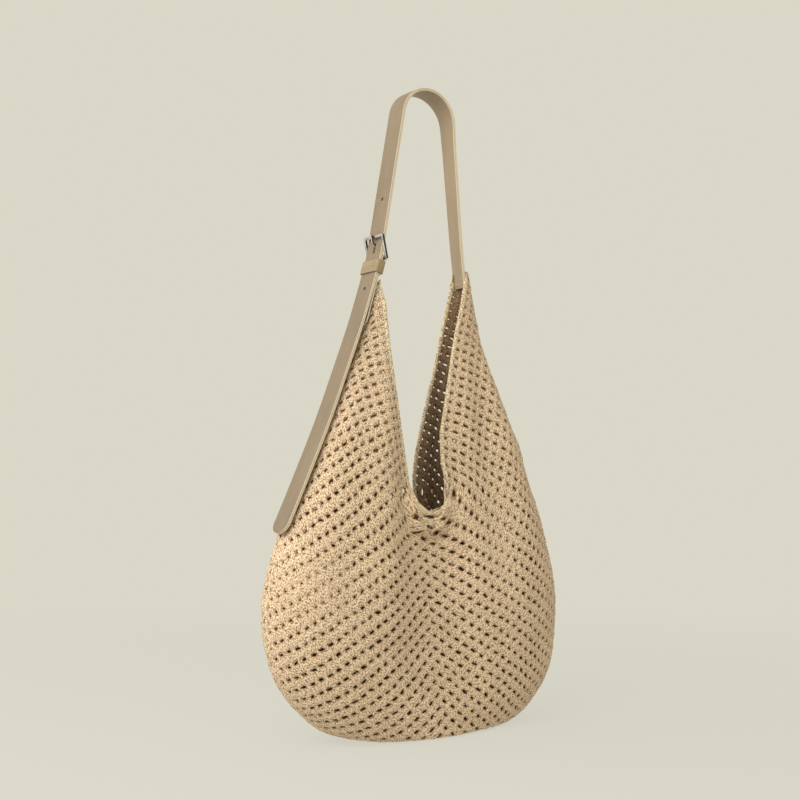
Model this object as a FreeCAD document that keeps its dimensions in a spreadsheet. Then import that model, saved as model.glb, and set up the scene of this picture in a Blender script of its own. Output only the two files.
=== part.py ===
"""Crochet-net hobo bag on an adjustable leather shoulder strap, modelled as separate pieces.

Frame: +Z up, X across the bag from peak to peak, -Y the front. The origin is the underside of the
strap at the top of its arch, where a hook or a shoulder carries the bag. Heights in the sheet are
measured up from the base of the bag.
"""
import FreeCAD, Part
import math
import os

from FreeCAD import Placement, Rotation, Vector

# Driving dimensions in millimetres. The name is the alias of the cell.
DIMENSIONS = [
    ("strap_width", 27.0, "width of the shoulder strap, its tail and the chape"),
    ("layer", 1.7, "thickness of one of the two leather layers of the strap"),
    ("chape_thickness", 1.6, "thickness of the leather tab that holds the buckle"),
    ("keeper_thickness", 1.5, "thickness of the leather of the keeper loop"),
    ("keeper_height", 14.5, "height of the keeper loop along the strap"),
    ("strap_top", 713.0, "height of the top of the strap arch"),
    ("arch_left", 30.0, "distance of the left corner that the arch rounds from the middle plane"),
    ("arch_right", 34.0, "distance of the right corner that the arch rounds from the middle plane"),
    ("arch_radius", 36.0, "radius of the middle of the strap at the arch"),
    ("entry_radius", 40.0, "radius of the middle of the strap where it enters the buckle"),
    ("right_end_reach", 55.0, "distance of the right strap end from the middle plane"),
    ("right_end_height", 492.0, "height of the right strap end, inside the right peak"),
    ("entry_reach", 64.0, "distance of the strap from the middle plane where it leaves the buckle"),
    ("entry_height", 517.0, "height of the strap where it leaves the buckle"),
    ("tail_reach", 72.6, "distance of the tail hinge from the middle plane"),
    ("tail_height", 486.2, "height of the tail hinge"),
    ("tail_length", 291.0, "length of the tail below its hinge"),
    ("tail_lean", 22.6, "angle of the tail from the vertical, in degrees"),
    ("tip_radius", 12.0, "radius of the rounded corners of the tail"),
    ("hole_radius", 2.1, "radius of the punched adjusting holes"),
    ("slot_half_width", 1.8, "half width of the hole that the prong goes through"),
    ("bar_radius", 1.6, "radius of the heel bar of the buckle"),
    ("frame_width", 35.6, "width of the buckle frame along its bars"),
    ("frame_wall", 3.2, "width of the frame's sides and toe"),
    ("frame_depth", 3.0, "thickness of the buckle frame"),
    ("frame_corner", 2.4, "radius of the corners of the buckle frame"),
    ("frame_rounding", 0.8, "radius of the rounded edges of the buckle frame"),
    ("prong_radius", 1.2, "radius of the prong"),
    ("eye_width", 3.8, "width of the eye of the prong"),
    ("wall", 3.0, "thickness of the crochet net"),
    ("rim_width", 5.0, "width of the plain edging round the mouth"),
    ("seam_width", 4.0, "width of the crochet seam between the two net panels"),
    ("left_peak_height", 484.5, "height of the left peak of the net"),
    ("right_peak_height", 511.0, "height of the right peak of the net"),
    ("dip_width", 70.0, "how far the hollow in the middle of each panel spreads"),
    ("clearance", 0.2, "gap between pieces that lie against each other"),
]

# Sections of the bag: name, height, half width, half depth, squareness and how far the middle
# of each panel is drawn in, as a share of the half depth.
SECTIONS = [
    ("base", 0.0, 100.0, 46.0, 2.0, 0.0),
    ("foot", 14.0, 134.0, 54.0, 2.0, 0.04),
    ("flare", 45.0, 169.0, 62.0, 2.1, 0.18),
    ("lower", 86.0, 189.0, 66.0, 2.2, 0.33),
    ("belly", 145.0, 196.0, 68.0, 2.2, 0.45),
    ("waist", 218.0, 179.0, 62.0, 2.3, 0.62),
    ("hips", 271.0, 157.0, 56.0, 2.3, 0.64),
    ("chest", 323.0, 136.0, 48.0, 2.4, 0.58),
    ("throat", 376.0, 110.0, 40.0, 2.6, 0.48),
    ("neck", 430.0, 83.0, 31.0, 3.0, 0.30),
    ("collar", 482.0, 68.0, 27.0, 3.8, 0.0),
    ("crown", 520.0, 64.0, 24.0, 4.0, 0.0),
]
SECTION_POINTS = 32

# The mouth seen from the front: corners as distance from the middle plane and height, and the
# radius that rounds each corner.
MOUTH_CORNERS = [(-60, 560), (-50, 376), (-34, 247), (10, 247), (12, 312), (50, 560)]
MOUTH_RADII = [0, 180, 17, 17, 180, 0]

doc = FreeCAD.newDocument("HoboBag")
sheet = doc.addObject("Spreadsheet::Sheet", "Sizes")


def fill_sheet():
    rows = list(DIMENSIONS)
    for name, height, half_width, half_depth, _, _ in SECTIONS:
        rows.append((name + "_height", height, "height of the section"))
        rows.append((name + "_half_width", half_width, "half width of the section"))
        rows.append((name + "_half_depth", half_depth, "half depth of the section"))
    for row, (name, value, note) in enumerate(rows, start=1):
        sheet.set(f"A{row}", name)
        sheet.set(f"B{row}", str(value))
        sheet.set(f"C{row}", note)
        sheet.setAlias(f"B{row}", name)
    doc.recompute()


fill_sheet()


def size(name):
    return float(sheet.get(name))


HANG = size("strap_top") - 2 * size("layer")


def point(reach, height, depth=0.0):
    """A place in the part's frame from its distance from the middle plane and its height."""
    return Vector(reach, depth, height - HANG)


def unit(vector):
    return vector / vector.Length


def left_of(direction):
    """The direction a quarter turn to the left, in the XZ plane with +Z up the page."""
    return Vector(-direction.z, 0, direction.x)


# ---- strips: flat pieces bent along a path in the XZ plane ----

def offset_side(points, radii, distance):
    """The path moved to its left by distance, as lines and arcs: lists of 2 or 3 points."""
    ways = [unit(b - a) for a, b in zip(points, points[1:])]
    edges = []
    start = points[0] + left_of(ways[0]) * distance
    for corner, radius, before, after in zip(points[1:-1], radii[1:-1], ways, ways[1:]):
        turn = before.getAngle(after)
        side = 1.0 if left_of(before).dot(after) > 0 else -1.0
        reach = radius * math.tan(turn / 2)
        centre = corner - before * reach + left_of(before) * side * radius
        moved = radius - side * distance
        first = centre - left_of(before) * side * moved
        last = centre - left_of(after) * side * moved
        middle = centre + unit(corner - centre) * moved
        edges.append([start, first])
        edges.append([first, middle, last])
        start = last
    edges.append([start, points[-1] + left_of(ways[-1]) * distance])
    return edges


def closed_outline(points, radii, near, far):
    """The outline between two offsets of a path, as a ring of lines and arcs."""
    out = offset_side(points, radii, far)
    back = [edge[::-1] for edge in offset_side(points, radii, near)[::-1]]
    return out + [[out[-1][-1], back[0][0]]] + back + [[back[-1][-1], out[0][0]]]


def origin_plane(body, role):
    return next(f for f in body.Origin.OriginFeatures if f.Role == role)


def new_body(name):
    body = doc.addObject("PartDesign::Body", name)
    body.Label = name
    return body


def sketch_on(body, role, edges):
    """A sketch on one of the body's own origin planes; edges are given in sketch coordinates."""
    sketch = body.newObject("Sketcher::SketchObject", body.Name + "_outline")
    sketch.AttachmentSupport = [(origin_plane(body, role), "")]
    sketch.MapMode = "FlatFace"
    for edge in edges:
        corners = [Vector(x, y, 0) for x, y in edge]
        if len(corners) == 2:
            sketch.addGeometry(Part.LineSegment(*corners), False)
        else:
            sketch.addGeometry(Part.Arc(*corners), False)
    return sketch


def pad_across(body, sketch, length):
    """Pads a sketch both ways from its plane; length is an expression of the sheet's cells."""
    pad = body.newObject("PartDesign::Pad", body.Name + "_pad")
    pad.Profile = sketch
    pad.SideType = "Symmetric"
    pad.setExpression("Length", length)
    body.Tip = pad
    doc.recompute()
    return pad


def strip(name, points, radii, near, far, width="Sizes.strap_width"):
    """A leather strip: the space between two offsets of a path, as wide as the cell says."""
    body = new_body(name)
    edges = [[(p.x, p.z) for p in edge] for edge in closed_outline(points, radii, near, far)]
    pad_across(body, sketch_on(body, "XZ_Plane", edges), width)
    return body


def cylinder(name, radius, height, start, direction):
    """A Part::Cylinder; radius and height are expressions of the sheet's cells."""
    piece = doc.addObject("Part::Cylinder", name)
    piece.setExpression("Radius", radius)
    piece.setExpression("Height", height)
    piece.Placement = Placement(start, Rotation(Vector(0, 0, 1), direction))
    return piece


def cut(name, base, tools):
    """base without tools; several tools are joined first."""
    tool = tools[0]
    if len(tools) > 1:
        tool = doc.addObject("Part::MultiFuse", name + "_tools")
        tool.Shapes = tools
    result = doc.addObject("Part::Cut", name)
    result.Base = base
    result.Tool = tool
    result.Label = name
    return result


def common(name, base, tool):
    result = doc.addObject("Part::Common", name)
    result.Base = base
    result.Tool = tool
    result.Label = name
    return result


# ---- the path of the strap ----

strap_middle = size("strap_top") - size("layer")
RIGHT_END = point(size("right_end_reach"), size("right_end_height"))
RIGHT_CORNER = point(size("arch_right"), strap_middle)
LEFT_CORNER = point(-size("arch_left"), strap_middle)
ENTRY = point(-size("entry_reach"), size("entry_height"))
TAIL_HINGE = point(-size("tail_reach"), size("tail_height"))
DOWN = unit(TAIL_HINGE - ENTRY)
OUTWARD = -left_of(DOWN)
LEAN = math.radians(size("tail_lean"))
TAIL_DOWN = Vector(-math.sin(LEAN), 0, -math.cos(LEAN))
TAIL_OUT = Vector(-math.cos(LEAN), 0, math.sin(LEAN))
UP_STRAND = unit(LEFT_CORNER - ENTRY)
STRAND_OUT = left_of(UP_STRAND)
HINGE_GAP = 2.0


def along(distance, offset, depth=0.0):
    """A place by its distance down the strap from ENTRY and its offset outward from its middle."""
    return ENTRY + DOWN * distance + OUTWARD * offset + Vector(0, depth, 0)


# ---- leather ----

STRAND_HOLE_HEIGHT = 579.5
TAIL_HOLE_DISTANCE = 9.3
PRONG_SLOT = (518.0, 529.0)
SLOT_REACH = 7.0


def strap_layers():
    """The two layers of the shoulder strap, from the right peak over the arch to the keeper."""
    path = [RIGHT_END, RIGHT_CORNER, LEFT_CORNER, ENTRY, TAIL_HINGE - DOWN * HINGE_GAP]
    radii = [0, size("arch_radius"), size("arch_radius"), size("entry_radius"), 0]
    layer = size("layer")
    rise = (STRAND_HOLE_HEIGHT - size("entry_height")) / (strap_middle - size("entry_height"))
    hole_middle = ENTRY + (LEFT_CORNER - ENTRY) * rise
    made = []
    # The path runs anticlockwise, so its right-hand side is the outer face of the strap.
    for name, near, far in (("strap_outer_layer", -layer, 0.0), ("strap_lining", 0.0, layer)):
        body = strip(name + "_strip", path, radii, near, far)
        hole = cylinder(
            name + "_hole", "Sizes.hole_radius", "Sizes.layer * 6",
            hole_middle - STRAND_OUT * 3 * layer, STRAND_OUT,
        )
        made.append(cut(name, body, [hole, prong_slot(name + "_slot")]))
    return made


def prong_slot(name):
    """The worn long hole in the strap that the prong goes through."""
    box = doc.addObject("Part::Box", name)
    box.Length = SLOT_REACH * 2
    box.setExpression("Width", "Sizes.slot_half_width * 2")
    box.Height = PRONG_SLOT[1] - PRONG_SLOT[0]
    box.Placement = Placement(
        point(-size("entry_reach") - SLOT_REACH, PRONG_SLOT[0], -size("slot_half_width")),
        Rotation(),
    )
    return box


def tail_layers():
    """The two layers of the free end of the strap, which hangs down the side of the bag."""
    half, length, radius = size("strap_width") / 2, size("tail_length"), size("tip_radius")
    slant = radius * (1 - math.sqrt(0.5))
    outline = [
        [(0, -half), (length - radius, -half)],
        [(length - radius, -half), (length - slant, -half + slant), (length, -half + radius)],
        [(length, -half + radius), (length, half - radius)],
        [(length, half - radius), (length - slant, half - slant), (length - radius, half)],
        [(length - radius, half), (0, half)],
        [(0, half), (0, -half)],
    ]
    made = []
    for name, shift in (("tail_outer_layer", 0.5), ("tail_lining", -0.5)):
        body = new_body(name + "_plank")
        pad_across(body, sketch_on(body, "XY_Plane", outline), "Sizes.layer")
        # The plank's own X runs down the tail and its Z points outward.
        turn = Rotation(TAIL_DOWN, Vector(0, -1, 0), TAIL_OUT, "ZXY")
        body.Placement = Placement(TAIL_HINGE + TAIL_OUT * size("layer") * shift, turn)
        hole = cylinder(
            name + "_hole", "Sizes.hole_radius", "Sizes.layer * 6",
            TAIL_HINGE + TAIL_DOWN * TAIL_HOLE_DISTANCE - TAIL_OUT * 3 * size("layer"), TAIL_OUT,
        )
        made.append(cut(name, body, [hole]))
    return made


# Offsets are measured outward from the middle of the strap and distances down it from ENTRY.
CHAPE_MIDDLE = -(size("layer") + size("clearance") + size("chape_thickness") / 2)
WRAP_RADIUS = size("bar_radius") + 0.15 + size("chape_thickness") / 2
HEEL_DISTANCE = 3.5
HEEL = along(HEEL_DISTANCE, CHAPE_MIDDLE - WRAP_RADIUS)
INNER_LEG = CHAPE_MIDDLE - size("chape_thickness") - 0.1
INNER_LEG_START, INNER_LEG_END = 7.8, 25.0
SLANT_START = 4.8
SLANT_RADIUS = 1.4
CHAPE_LENGTH = 84.0
CHAPE_SLOT = (-4.0, 8.5)


def chape():
    """The folded tab: round the heel bar, its short end behind it and its long end on the net."""
    top = HEEL_DISTANCE - WRAP_RADIUS
    far_side = CHAPE_MIDDLE - 2 * WRAP_RADIUS
    path = [
        along(INNER_LEG_END, INNER_LEG), along(INNER_LEG_START, INNER_LEG),
        along(SLANT_START, far_side), along(top, far_side), along(top, CHAPE_MIDDLE),
        along(CHAPE_LENGTH, CHAPE_MIDDLE),
    ]
    # A little under half the turn's width, so that a short flat stays between the two bends.
    bend = WRAP_RADIUS * 0.99
    half = size("chape_thickness") / 2
    radii = [0, SLANT_RADIUS, SLANT_RADIUS, bend, bend, 0]
    body = strip("chape_strip", path, radii, -half, half)
    slot = doc.addObject("Part::Box", "chape_slot")
    slot.Length = CHAPE_SLOT[1] - CHAPE_SLOT[0]
    slot.setExpression("Width", "Sizes.eye_width * 1.4")
    slot.Height = WRAP_RADIUS * 6
    # Local X runs down the strap, local Y towards the front and local Z outward.
    turn = Rotation(DOWN, Vector(0, -1, 0), OUTWARD, "ZXY")
    corner = along(CHAPE_SLOT[0], CHAPE_MIDDLE - 4 * WRAP_RADIUS, size("eye_width") * 0.7)
    slot.Placement = Placement(corner, turn)
    return cut("chape", body, [slot])


KEEPER_START = 8.3
KEEPER_INSIDE = (INNER_LEG - size("chape_thickness") / 2 - 0.5, size("layer") + 0.3)
KEEPER_SIDE_GAP = 0.5


def keeper():
    """The loop that holds the tail down on the chape."""
    low, high = KEEPER_INSIDE
    side = size("strap_width") / 2 + KEEPER_SIDE_GAP
    thick = size("keeper_thickness")
    body = new_body("keeper_loop")

    def ring(y_half, z_low, z_high):
        corners = [(-y_half, z_low), (y_half, z_low), (y_half, z_high), (-y_half, z_high)]
        return [[a, b] for a, b in zip(corners, corners[1:] + corners[:1])]

    outline = ring(side + thick, low - thick, high + thick) + ring(side, low, high)
    sketch = sketch_on(body, "XY_Plane", outline)
    pad_across(body, sketch, "Sizes.keeper_height")
    # The loop's own Z runs down the strap, its X towards the front and its Y outward.
    turn = Rotation(Vector(0, -1, 0), OUTWARD, DOWN, "ZXY")
    body.Placement = Placement(along(KEEPER_START + size("keeper_height") / 2, 0), turn)
    return body


# ---- metal ----

TOE_DISTANCE = 18.5
TOE_GAP = 1.6
TOE_OFFSET = size("layer") + TOE_GAP + size("frame_depth") / 2
TOE = ENTRY + UP_STRAND * TOE_DISTANCE + STRAND_OUT * TOE_OFFSET
FRAME_UP = unit(TOE - HEEL)
FRAME_OUT = left_of(FRAME_UP)


def buckle_frame():
    """A flat rectangular frame, open at the heel, and the round heel bar that closes it."""
    half, wall = size("frame_width") / 2, size("frame_wall")
    reach = (TOE - HEEL).Length + size("frame_depth") / 2
    corner = size("frame_corner")
    inner = half - wall
    slant = corner * (1 - math.sqrt(0.5))
    bar = size("bar_radius")
    outline = [
        [(-bar, -half), (reach - corner, -half)],
        [(reach - corner, -half), (reach - slant, -half + slant), (reach, -half + corner)],
        [(reach, -half + corner), (reach, half - corner)],
        [(reach, half - corner), (reach - slant, half - slant), (reach - corner, half)],
        [(reach - corner, half), (-bar, half)],
        [(-bar, half), (-bar, inner)],
        [(-bar, inner), (reach - wall, inner)],
        [(reach - wall, inner), (reach - wall, -inner)],
        [(reach - wall, -inner), (-bar, -inner)],
        [(-bar, -inner), (-bar, -half)],
    ]
    body = new_body("frame_blank")
    pad = pad_across(body, sketch_on(body, "XY_Plane", outline), "Sizes.frame_depth")
    fillet = body.newObject("PartDesign::Fillet", "frame_rounding")
    long_edges = [
        f"Edge{i}" for i, edge in enumerate(pad.Shape.Edges, start=1)
        if abs(abs(edge.CenterOfMass.z) - size("frame_depth") / 2) < 0.01
    ]
    fillet.Base = (pad, long_edges)
    fillet.setExpression("Radius", "Sizes.frame_rounding")
    body.Tip = fillet
    body.Placement = Placement(HEEL, frame_turn())
    heel = cylinder("heel_bar", "Sizes.bar_radius", "Sizes.frame_width - 1",
                    HEEL - Vector(0, half - 0.5, 0), Vector(0, 1, 0))
    result = doc.addObject("Part::MultiFuse", "buckle_frame")
    result.Shapes = [body, heel]
    result.Label = "buckle_frame"
    return result


def frame_turn():
    """Turns local X up the buckle frame and local Z outward."""
    return Rotation(FRAME_UP, FRAME_OUT.cross(FRAME_UP), FRAME_OUT, "ZXY")


EYE_BORE = size("bar_radius") + 0.08
EYE_WALL = 1.47
PRONG_REST_GAP = 0.15
TIP_OVERHANG = 2.6
ELBOW_DROP = 5.2
KNEE_RISE = 5.5
KNEE_GAP = 0.25


def prong():
    """A bent round prong: its eye on the heel bar, its knee behind the strap, its tip on the toe."""
    radius = size("prong_radius")
    toe_face = TOE + FRAME_OUT * (size("frame_depth") / 2 + PRONG_REST_GAP + radius)
    tip = toe_face + FRAME_UP * TIP_OVERHANG
    elbow = toe_face - FRAME_UP * ELBOW_DROP
    knee = along(-KNEE_RISE, -(size("layer") + KNEE_GAP + radius))
    root = HEEL + unit(knee - HEEL) * (EYE_BORE + EYE_WALL / 2)
    pieces = []
    for name, start, end in (("root", root, knee), ("shank", knee, elbow), ("point", elbow, tip)):
        rod = doc.addObject("Part::Cylinder", "prong_" + name)
        rod.setExpression("Radius", "Sizes.prong_radius")
        rod.Height = (end - start).Length
        rod.Placement = Placement(start, Rotation(Vector(0, 0, 1), end - start))
        pieces.append(rod)
    for name, place in (("knee", knee), ("elbow", elbow), ("tip", tip)):
        ball = doc.addObject("Part::Sphere", "prong_" + name)
        ball.setExpression("Radius", "Sizes.prong_radius")
        ball.Placement = Placement(place, Rotation())
        pieces.append(ball)
    half = size("eye_width") / 2
    eye = doc.addObject("Part::Cylinder", "prong_eye")
    eye.Radius = EYE_BORE + EYE_WALL
    eye.setExpression("Height", "Sizes.eye_width")
    eye.Placement = Placement(HEEL - Vector(0, half, 0), Rotation(Vector(0, 0, 1), Vector(0, 1, 0)))
    pieces.append(eye)
    blank = doc.addObject("Part::MultiFuse", "prong_blank")
    blank.Shapes = pieces
    drill = doc.addObject("Part::Cylinder", "prong_bore")
    drill.Radius = EYE_BORE
    drill.setExpression("Height", "Sizes.eye_width * 3")
    drill.Placement = Placement(
        HEEL - Vector(0, half * 3, 0), Rotation(Vector(0, 0, 1), Vector(0, 1, 0))
    )
    return cut("buckle_prong", blank, [drill])


# ---- thread ----

THREAD_RADIUS = 0.35
THREAD_LIFT = THREAD_RADIUS + 0.03
STITCH = 2.6
STITCH_SHARE = 0.8
STITCH_MARGIN = 3.0


def stitches(name, lines):
    """Straight stitches lying on the leather: each line is a start, an end and a count."""
    solids = []
    for start, end, count in lines:
        way = (end - start) / count
        for i in range(count):
            middle = start + way * (i + 0.5)
            length = min(STITCH, way.Length * STITCH_SHARE)
            begin = middle - unit(way) * length / 2
            solids.append(Part.makeCylinder(THREAD_RADIUS, length, begin, unit(way)))
    piece = doc.addObject("Part::Feature", name)
    piece.Shape = Part.makeCompound(solids)
    piece.Label = name
    return piece


def keeper_stitches():
    """Two short rows down the outside of the loop, beside its front edge."""
    face = KEEPER_INSIDE[1] + size("keeper_thickness") + THREAD_LIFT
    first = KEEPER_START + STITCH_MARGIN
    last = KEEPER_START + size("keeper_height") - STITCH_MARGIN
    lines = []
    for depth in (-8.4, -5.2):
        lines.append((along(first, face, depth), along(last, face, depth), 3))
    return stitches("keeper_stitches", lines)


CHAPE_SEAM_TOP = 52.0
END_SEAM_RISES = (4.0, 10.0)


def chape_stitches():
    """The seam round the lower end of the chape, through the net."""
    face = CHAPE_MIDDLE - size("chape_thickness") / 2 - THREAD_LIFT
    side = size("strap_width") / 2 - STITCH_MARGIN
    top, bottom = CHAPE_SEAM_TOP, CHAPE_LENGTH - STITCH_MARGIN
    corners = [(top, -side), (bottom, -side), (bottom, side), (top, side)]
    lines = []
    for (d0, y0), (d1, y1), count in zip(corners, corners[1:], (8, 6, 8)):
        lines.append((along(d0, face, y0), along(d1, face, y1), count))
    return stitches("chape_stitches", lines)


def strap_end_stitches():
    """The bar of stitches across the right strap end, on its inner face."""
    up = unit(RIGHT_CORNER - RIGHT_END)
    face = left_of(up) * (size("layer") + THREAD_LIFT)
    side = size("strap_width") / 2 - STITCH_MARGIN
    lines = []
    for rise in END_SEAM_RISES:
        base = RIGHT_END + up * rise + face
        lines.append((base - Vector(0, side, 0), base + Vector(0, side, 0), 6))
    return stitches("strap_end_stitches", lines)


# ---- crochet net ----

def section_wire(name, squareness, drawn_in, inset):
    """One level section of the bag: a squared oval with a hollow in the middle of each panel."""
    half_width, half_depth = size(name + "_half_width"), size(name + "_half_depth")
    height = size(name + "_height")
    spread = size("dip_width")
    raw = []
    for i in range(SECTION_POINTS):
        angle = 2 * math.pi * (i + 0.5) / SECTION_POINTS
        c, s = math.cos(angle), math.sin(angle)
        x = half_width * math.copysign(abs(c) ** (2 / squareness), c)
        y = half_depth * math.copysign(abs(s) ** (2 / squareness), s)
        y *= 1 - drawn_in * math.exp(-((x / spread) ** 2))
        raw.append(Vector(x, y, 0))
    points = []
    for i, here in enumerate(raw):
        way = unit(raw[(i + 1) % SECTION_POINTS] - raw[i - 1])
        inner = here + Vector(-way.y, way.x, 0) * inset
        points.append(point(inner.x, height, inner.y))
    curve = Part.BSplineCurve()
    curve.interpolate(Points=points, PeriodicFlag=True)
    return Part.Wire(curve.toShape())


def sack(name, inset):
    """The solid inside the outer or the inner skin of the bag."""
    wires = []
    for section, _, _, _, squareness, drawn_in in SECTIONS:
        wire = doc.addObject("Part::Feature", f"{name}_{section}")
        wire.Shape = section_wire(section, squareness, drawn_in, inset)
        if section == "base" and inset:
            wire.Placement = Placement(Vector(0, 0, inset), Rotation())
        wires.append(wire)
    loft = doc.addObject("Part::Loft", name)
    loft.Sections = wires
    loft.Solid = True
    loft.Ruled = False
    return loft


def mouth(name, distance):
    """A block through the bag with the outline of the mouth, larger all round by distance."""
    corners = [point(x, z) for x, z in MOUTH_CORNERS]
    edges = offset_side(corners, MOUTH_RADII, -distance)
    edges.append([edges[-1][-1], edges[0][0]])
    body = new_body(name)
    sketch = sketch_on(body, "XZ_Plane", [[(p.x, p.z) for p in edge] for edge in edges])
    pad_across(body, sketch, "Sizes.belly_half_depth * 4")
    return body


def block(name, x_range, y_range, z_range):
    """A box between limits; heights are measured from the base."""
    box = doc.addObject("Part::Box", name)
    box.Length = x_range[1] - x_range[0]
    box.Width = y_range[1] - y_range[0]
    box.Height = z_range[1] - z_range[0]
    box.Placement = Placement(point(x_range[0], z_range[0], y_range[0]), Rotation())
    return box


FAR = 300.0
BELOW, ABOVE = -5.0, 700.0
BASE_SEAM_TOP = 10.0


def net():
    """The two net panels, the edging of the mouth on each, and the seams between them."""
    shell = cut("net_shell", sack("outer_skin", 0.0), [sack("inner_skin", size("wall"))])
    depth = (-FAR, FAR)
    above_left = block("above_left_peak", (-FAR, 0), depth, (size("left_peak_height"), ABOVE))
    above_right = block("above_right_peak", (0, FAR), depth, (size("right_peak_height"), ABOVE))
    opening = mouth("mouth_block", 0.0)
    body = cut("net_body", shell, [opening, above_left, above_right])
    rim_block = mouth("rim_block", size("rim_width"))
    panel_block = mouth("panel_block", size("rim_width") + size("clearance"))
    half_seam = size("seam_width") / 2
    edge = half_seam + size("clearance")
    made = []
    for side, y_range in (("front", (-FAR, -edge)), ("back", (edge, FAR))):
        space = block(side + "_space", (-FAR, FAR), y_range, (BELOW, ABOVE))
        half = common(side + "_half", body, space)
        made.append(cut("net_" + side, half, [panel_block]))
        made.append(common("rim_" + side, half, rim_block))
    seam_space = block("seam_space", (-FAR, FAR), (-half_seam, half_seam), (BELOW, ABOVE))
    seam = common("seam_ring", body, seam_space)
    reach, gap = size("base_half_width"), size("clearance")
    low = block("base_space", (-reach, reach), depth, (BELOW, BASE_SEAM_TOP))
    made.append(common("base_seam", seam, low))
    cleared = block("base_gap", (-reach - gap, reach + gap), depth, (BELOW, BASE_SEAM_TOP + gap))
    for name, x_range in (("side_seam_left", (-FAR, 0)), ("side_seam_right", (0, FAR))):
        space = block(name + "_space", x_range, depth, (BELOW, ABOVE))
        made.append(cut(name, common(name + "_half", seam, space), [cleared]))
    return made


def check_everything():
    for thing in doc.Objects:
        if "Invalid" in thing.State or "Error" in thing.State:
            raise RuntimeError(f"{thing.Name} failed: {thing.State}")


def main():
    nodes = strap_layers() + tail_layers() + [chape(), keeper(), buckle_frame(), prong()]
    nodes += [keeper_stitches(), chape_stitches(), strap_end_stitches()]
    nodes += net()
    doc.recompute()
    check_everything()
    os.makedirs("parts", exist_ok=True)
    for node in nodes:
        shape = node.Shape
        if shape.isNull() or not shape.isValid():
            raise RuntimeError(f"{node.Label} has no valid shape")
        print(f"{node.Label:22s} {len(shape.Solids):3d} solids {shape.Volume:12.1f} mm3")
        shape.exportStep(f"parts/{node.Label}.step")


main()
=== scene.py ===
import math

import bpy
import numpy as np
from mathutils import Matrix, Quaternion, Vector


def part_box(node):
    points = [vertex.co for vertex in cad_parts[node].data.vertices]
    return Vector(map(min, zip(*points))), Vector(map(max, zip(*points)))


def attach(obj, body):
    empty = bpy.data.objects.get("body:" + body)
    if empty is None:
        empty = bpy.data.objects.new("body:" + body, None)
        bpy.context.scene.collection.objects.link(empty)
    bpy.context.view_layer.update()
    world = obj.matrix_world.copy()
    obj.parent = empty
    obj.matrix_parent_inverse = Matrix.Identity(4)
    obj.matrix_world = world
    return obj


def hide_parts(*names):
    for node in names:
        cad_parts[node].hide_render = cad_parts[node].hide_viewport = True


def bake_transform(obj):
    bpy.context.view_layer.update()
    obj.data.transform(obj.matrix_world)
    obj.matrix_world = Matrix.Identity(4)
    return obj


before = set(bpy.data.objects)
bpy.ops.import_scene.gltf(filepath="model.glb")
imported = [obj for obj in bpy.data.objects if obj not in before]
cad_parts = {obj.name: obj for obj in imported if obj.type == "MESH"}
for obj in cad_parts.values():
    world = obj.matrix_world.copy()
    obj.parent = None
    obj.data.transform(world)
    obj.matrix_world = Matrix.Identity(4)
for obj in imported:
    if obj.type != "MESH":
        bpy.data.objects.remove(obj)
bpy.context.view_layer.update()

MM = 0.001
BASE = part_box("base_seam")[0].z / MM


def to_world(points):
    """Places given as x, y, height in millimetres, as metres in the frame."""
    return (np.asarray(points, float) + (0, 0, BASE)) * MM


# ---- materials ----

WHITE, BLACK = (1.0, 1.0, 1.0), (0.0, 0.0, 0.0)


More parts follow.
